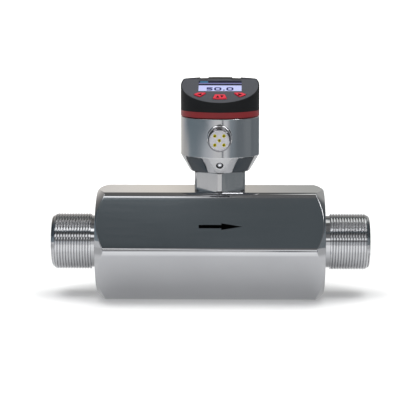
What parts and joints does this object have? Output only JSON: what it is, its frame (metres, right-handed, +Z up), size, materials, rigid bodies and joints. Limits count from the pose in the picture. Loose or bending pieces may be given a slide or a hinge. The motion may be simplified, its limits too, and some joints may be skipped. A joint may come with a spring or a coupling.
{
  "type": "turbine flow meter",
  "caption": "Turbine flow meter: hexagonal bar body with threaded ends and a helical rotor, and a swivelling round head with slanted display, push buttons and round connector.",
  "frame": {"origin": "centre of the flat that the hexagonal body rests on", "axes": "+X along the flow from inlet to outlet, +Z up, display and connector face -Y"},
  "size_m": [0.171, 0.0662, 0.1167],
  "materials": {
    "body_steel": "turned and ground stainless steel",
    "flow_steel": "fine turned stainless steel",
    "spring_steel": "spring steel",
    "bush_carbide": "ground carbide",
    "seal_rubber": "moulded rubber",
    "neck_steel": "machined stainless steel",
    "rotor_steel": "machined stainless steel",
    "head_steel": "polished stainless steel",
    "vent_plastic": "moulded plastic",
    "connector_metal": "plated metal",
    "insert_plastic": "light grey moulded plastic",
    "contact_gold": "gold plated",
    "board_green": "laminate",
    "ring_red": "glossy red",
    "cap_black": "fine textured black",
    "plate_grey": "satin grey",
    "window_clear": "clear pane",
    "display_cell": "lit display",
    "switch_black": "moulded black",
    "button_red": "satin red"
  },
  "bodies": {
    "root": {"meter_body": "body_steel", "inlet_straightener": "flow_steel", "outlet_straightener": "flow_steel", "inlet_snap_ring": "spring_steel", "outlet_snap_ring": "spring_steel", "inlet_bearing_bush": "bush_carbide", "outlet_bearing_bush": "bush_carbide", "pickup_probe": "flow_steel", "pickup_seal": "seal_rubber", "neck": "neck_steel", "neck_seal": "seal_rubber", "neck_circlip": "spring_steel"},
    "rotor_unit": {"rotor": "rotor_steel", "rotor_shaft": "rotor_steel"},
    "housing": {"head_housing": "head_steel", "vent_screw": "vent_plastic", "connector_shell": "connector_metal", "connector_gasket": "seal_rubber", "connector_insert": "insert_plastic", "connector_contacts": "contact_gold", "main_board": "board_green"},
    "display": {"trim_ring": "ring_red", "display_cap": "cap_black", "cap_seal": "seal_rubber", "face_plate": "plate_grey", "display_window": "window_clear", "display_module": "display_cell", "display_board": "board_green", "key_switches": "switch_black"},
    "left_key": {"left_button": "button_red"},
    "centre_key": {"centre_button": "button_red"},
    "right_key": {"right_button": "button_red"}
  },
  "joints": [
    {"name": "rotor_spin", "type": "hinge", "parent": "root", "child": "rotor_unit", "pos_m": [0.005, 0, 0.029], "axis": [1, 0, 0], "continuous": true},
    {"name": "housing_swivel", "type": "hinge", "parent": "root", "child": "housing", "pos_m": [0.005, 0, 0.0685], "axis": [0, 0, 1], "range_deg": [-165, 165]},
    {"name": "display_swivel", "type": "hinge", "parent": "housing", "child": "display", "pos_m": [0.005, 0, 0.0979], "axis": [0, 0, 1], "range_deg": [-165, 165]},
    {"name": "left_button_press", "type": "slide", "parent": "display", "child": "left_key", "axis": [0, 0.3535, -0.9354], "range_m": [0, 0.0005], "stiffness_N_per_m": 800, "springref_m": -0.0003},
    {"name": "centre_button_press", "type": "slide", "parent": "display", "child": "centre_key", "axis": [0, 0.3535, -0.9354], "range_m": [0, 0.0005], "stiffness_N_per_m": 800, "springref_m": -0.0003},
    {"name": "right_button_press", "type": "slide", "parent": "display", "child": "right_key", "axis": [0, 0.3535, -0.9354], "range_m": [0, 0.0005], "stiffness_N_per_m": 800, "springref_m": -0.0003}
  ]
}
